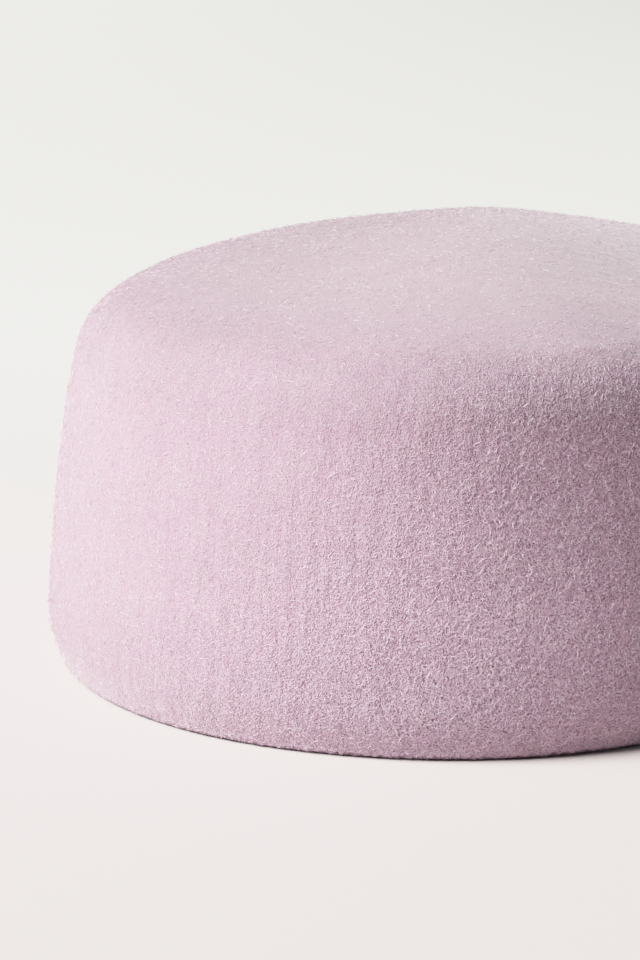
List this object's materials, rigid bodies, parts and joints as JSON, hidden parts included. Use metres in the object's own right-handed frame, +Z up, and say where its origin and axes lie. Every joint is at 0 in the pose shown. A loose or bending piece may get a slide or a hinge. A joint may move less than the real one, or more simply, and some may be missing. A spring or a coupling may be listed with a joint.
{
  "type": "pillbox hat",
  "caption": "Brimless oval felt hat: nearly upright side, soft rounded shoulder and low domed tip in one hollow blocked shell, open underneath for the head.",
  "frame": {"origin": "middle of the plane that the lower edge rests on", "axes": "+Z up through the tip, +Y along the oval's long way towards the back, +X to the hat's right-hand side seen from the front (-Y)"},
  "size_m": [0.1702, 0.1998, 0.0878],
  "materials": {
    "lilac_felt": "pale lilac pressed wool felt, soft matt, with a fine fibrous nap"
  },
  "bodies": {
    "root": {"felt_crown": "lilac_felt"}
  },
  "joints": []
}
